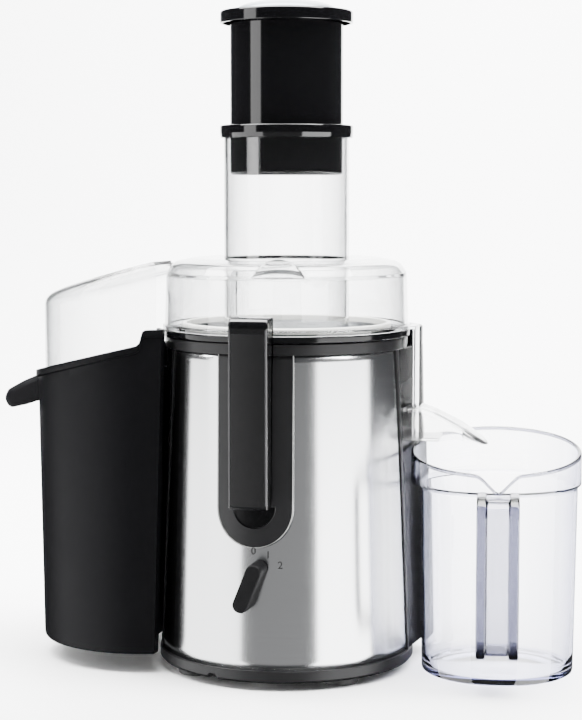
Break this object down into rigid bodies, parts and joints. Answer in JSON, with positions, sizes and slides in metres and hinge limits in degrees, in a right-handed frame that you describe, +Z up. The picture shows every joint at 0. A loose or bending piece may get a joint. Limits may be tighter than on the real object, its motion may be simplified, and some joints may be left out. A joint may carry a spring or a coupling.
{
  "type": "centrifugal juicer",
  "caption": "Upright centrifugal juicer with a steel-fronted motor base, front latch, clear lid with feed tube and pusher, pulp bin on the left and spout over a clear jug on the right.",
  "frame": {"origin": "motor axis at the height of the worktop", "axes": "+Z up, -Y towards the user at the front with the latch and the knob, +X towards the jug, -X towards the pulp bin"},
  "size_m": [0.3987, 0.1848, 0.4415],
  "materials": {
    "gloss_black": "glossy black moulded ABS",
    "satin_black": "satin black moulded polypropylene",
    "dark_grey": "satin dark grey moulded ABS",
    "textured_black": "fine-grained matte black plastic",
    "pale_silver": "pale silver painted plastic, metallic lacquer",
    "clear": "clear injection-moulded SAN plastic",
    "brushed_steel": "brushed stainless steel sheet, grain around the body",
    "steel_bright": "plain stainless steel",
    "rubber": "moulded rubber",
    "white_plastic": "white moulded plastic",
    "laminations": "stacked electrical steel",
    "copper": "enamelled copper winding",
    "commutator_copper": "bare copper segments",
    "carbon": "sintered carbon",
    "phenolic": "brown phenolic moulding",
    "zinc": "die-cast bracket, as cast"
  },
  "bodies": {
    "base_unit": {"rubber_feet": "rubber", "base_ring": "dark_grey", "base_plate": "satin_black", "base_screws": "steel_bright", "cord_gland": "rubber", "housing_shell": "gloss_black", "housing_crown": "gloss_black", "motor_deck": "satin_black", "steel_panel": "brushed_steel", "panel_beads": "dark_grey", "top_ring": "dark_grey", "rear_ring": "gloss_black", "latch_recess": "dark_grey", "hinge_pocket": "gloss_black", "latch_hinge_pin": "steel_bright", "interlock_switch": "satin_black", "rotary_switch": "white_plastic", "motor_lower_bracket": "zinc", "motor_upper_bracket": "zinc", "motor_stator": "laminations", "field_coils": "copper", "motor_bolts": "steel_bright", "motor_mounts": "rubber", "lower_bearing": "steel_bright", "upper_bearing": "steel_bright", "brush_holders": "phenolic", "carbon_brushes": "carbon", "shaft_seal": "rubber", "juice_bowl": "gloss_black", "juice_spout": "clear", "lid_cover": "clear", "feed_tube": "clear", "pulp_hood": "clear", "tube_collar": "gloss_black", "bin_hanger": "satin_black"},
    "pusher": {"pusher_body": "gloss_black", "pusher_cap": "pale_silver"},
    "latch": {"latch_lever": "gloss_black", "latch_grip": "textured_black"},
    "interlock": {"interlock_pin": "white_plastic"},
    "knob": {"speed_knob": "dark_grey"},
    "rotor": {"motor_shaft": "steel_bright", "motor_armature": "laminations", "commutator": "commutator_copper", "cooling_fan": "white_plastic", "drive_coupler": "satin_black", "basket_base": "white_plastic", "filter_basket": "steel_bright", "basket_rim": "white_plastic", "grater_disc": "steel_bright"},
    "bin": {"pulp_bin": "satin_black"},
    "jug": {"jug_body": "clear", "jug_handle": "clear"}
  },
  "joints": [
    {"name": "pusher_slide", "type": "slide", "parent": "base_unit", "child": "pusher", "axis": [0, 0, 1], "range_m": [-0.0662, 0.12]},
    {"name": "latch_swing", "type": "hinge", "parent": "base_unit", "child": "latch", "pos_m": [0, -0.08584, 0.1225], "axis": [1, 0, 0], "range_deg": [0, 60]},
    {"name": "interlock_slide", "type": "slide", "parent": "base_unit", "child": "interlock", "axis": [0, -1, 0], "range_m": [0, 0.003]},
    {"name": "knob_turn", "type": "hinge", "parent": "base_unit", "child": "knob", "pos_m": [0, -0.0826, 0.068], "axis": [0, 1, 0], "range_deg": [-22, 30]},
    {"name": "rotor_spin", "type": "hinge", "parent": "base_unit", "child": "rotor", "pos_m": [0, 0, 0.1], "axis": [0, 0, 1], "continuous": true},
    {"name": "pulp_bin_tilt", "type": "hinge", "parent": "base_unit", "child": "bin", "pos_m": [-0.08336, 0.00729, 0.196], "axis": [0.0872, 0.9962, 0], "range_deg": [0, 6.5]},
    {"name": "jug_slide", "type": "slide", "parent": "base_unit", "child": "jug", "axis": [0.9962, 0.0872, 0], "range_m": [0, 0.15]}
  ],
  "couplings": [
    {"joint": "interlock_slide", "follows": "latch_swing", "m_per_rad": 0.002865}
  ]
}
